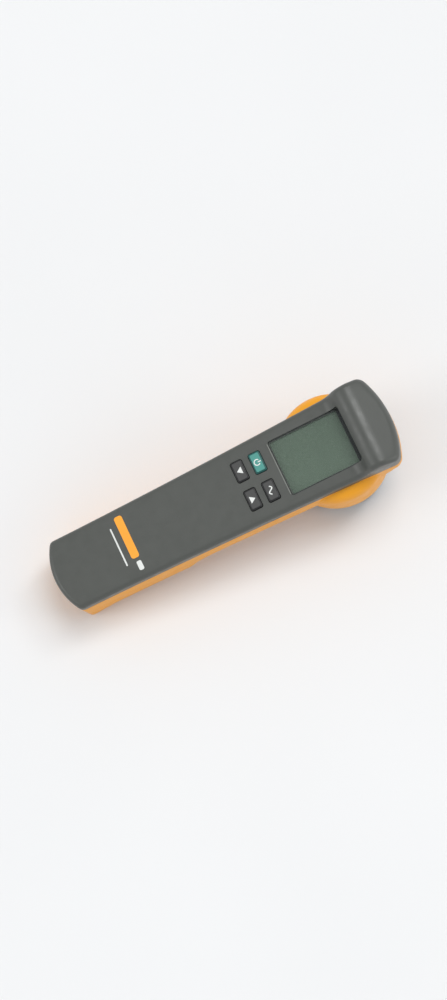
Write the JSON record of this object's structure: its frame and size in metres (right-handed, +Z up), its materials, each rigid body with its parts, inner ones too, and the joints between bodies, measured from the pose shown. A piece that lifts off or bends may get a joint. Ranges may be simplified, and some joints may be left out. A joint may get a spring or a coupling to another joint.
{
  "type": "handheld led stroboscope",
  "caption": "Battery-powered handheld stroboscope: a round LED lamp under the head, a display and keys on its face, and a trigger behind the lamp.",
  "frame": {"origin": "centre of the bounding box, at the surface that the instrument lies on", "axes": "+X from the tail to the lamp head, +Y across the body, +Z up, with the face up and the head raised by 7.9 degrees"},
  "size_m": [0.191, 0.057, 0.0663],
  "materials": {
    "shell_grey": "fine moulded texture",
    "shell_yellow": "fine moulded texture",
    "bezel_black": "satin",
    "clear_lens": "clear polycarbonate",
    "seal_rubber": "soft matt",
    "reflector_silver": "vacuum metallised",
    "board_white": "white solder mask",
    "board_green": "green solder mask",
    "led_phosphor": "yellow phosphor",
    "heat_sink_metal": "satin",
    "wire_red": "insulation",
    "chip_black": "epoxy",
    "coil_dark": "ferrite",
    "capacitor_blue": "sleeve",
    "display_clear": "clear window",
    "lcd_grey_green": "unlit liquid crystal",
    "diffuser_white": "diffusing",
    "frame_white": "moulded",
    "connector_dark": "elastomer",
    "membrane_grey": "silicone",
    "spring_steel": "bright",
    "key_teal": "satin",
    "key_dark": "satin",
    "trigger_black": "fine moulded texture",
    "cell_wrap": "foil sleeve",
    "screw_steel": "dark plated"
  },
  "bodies": {
    "housing": {"front_shell": "shell_grey", "rear_shell": "shell_yellow", "lamp_bezel": "bezel_black", "lens_window": "clear_lens", "lens_seal": "seal_rubber", "reflector": "reflector_silver", "led_board": "board_white", "led_1": "led_phosphor", "led_2": "led_phosphor", "led_3": "led_phosphor", "led_4": "led_phosphor", "led_5": "led_phosphor", "led_6": "led_phosphor", "led_7": "led_phosphor", "heat_sink": "heat_sink_metal", "lamp_lead": "wire_red", "main_board": "board_green", "processor": "chip_black", "driver_coil": "coil_dark", "reservoir_capacitor": "capacitor_blue", "display_window": "display_clear", "lcd_glass": "lcd_grey_green", "lcd_backlight": "diffuser_white", "lcd_frame": "frame_white", "lcd_connectors": "connector_dark", "keypad_membrane": "membrane_grey", "dome_switches": "spring_steel", "trigger_pin": "spring_steel", "trigger_spring": "spring_steel", "trigger_switch": "chip_black", "cell_1": "cell_wrap", "cell_2": "cell_wrap", "cell_3": "cell_wrap", "cell_spring_1": "spring_steel", "cell_spring_2": "spring_steel", "cell_spring_3": "spring_steel", "tail_contact": "spring_steel", "head_contact": "spring_steel", "battery_lead": "wire_red", "case_screws": "screw_steel", "board_screws": "spring_steel"},
    "power_key": {"power_key": "key_teal"},
    "mode_key": {"mode_key": "key_dark"},
    "down_key": {"down_key": "key_dark"},
    "up_key": {"up_key": "key_dark"},
    "trigger": {"trigger": "trigger_black"},
    "battery_door": {"battery_door": "shell_yellow"}
  },
  "joints": [
    {"name": "power_key_press", "type": "slide", "parent": "housing", "child": "power_key", "axis": [0.1382, 0, -0.9904], "range_m": [0, 0.0005], "stiffness_N_per_m": 300, "springref_m": -0.0004},
    {"name": "mode_key_press", "type": "slide", "parent": "housing", "child": "mode_key", "axis": [0.1382, 0, -0.9904], "range_m": [0, 0.0005], "stiffness_N_per_m": 300, "springref_m": -0.0004},
    {"name": "down_key_press", "type": "slide", "parent": "housing", "child": "down_key", "axis": [0.1382, 0, -0.9904], "range_m": [0, 0.0005], "stiffness_N_per_m": 300, "springref_m": -0.0004},
    {"name": "up_key_press", "type": "slide", "parent": "housing", "child": "up_key", "axis": [0.1382, 0, -0.9904], "range_m": [0, 0.0005], "stiffness_N_per_m": 300, "springref_m": -0.0004},
    {"name": "trigger_pull", "type": "hinge", "parent": "housing", "child": "trigger", "pos_m": [0.02799, 0, 0.02877], "axis": [0, 1, 0], "range_deg": [0, 6], "stiffness_Nm_per_rad": 0.25, "springref_deg": -4.58},
    {"name": "battery_door_slide", "type": "slide", "parent": "housing", "child": "battery_door", "axis": [-0.9904, 0, -0.1382], "range_m": [0, 0.011]}
  ]
}
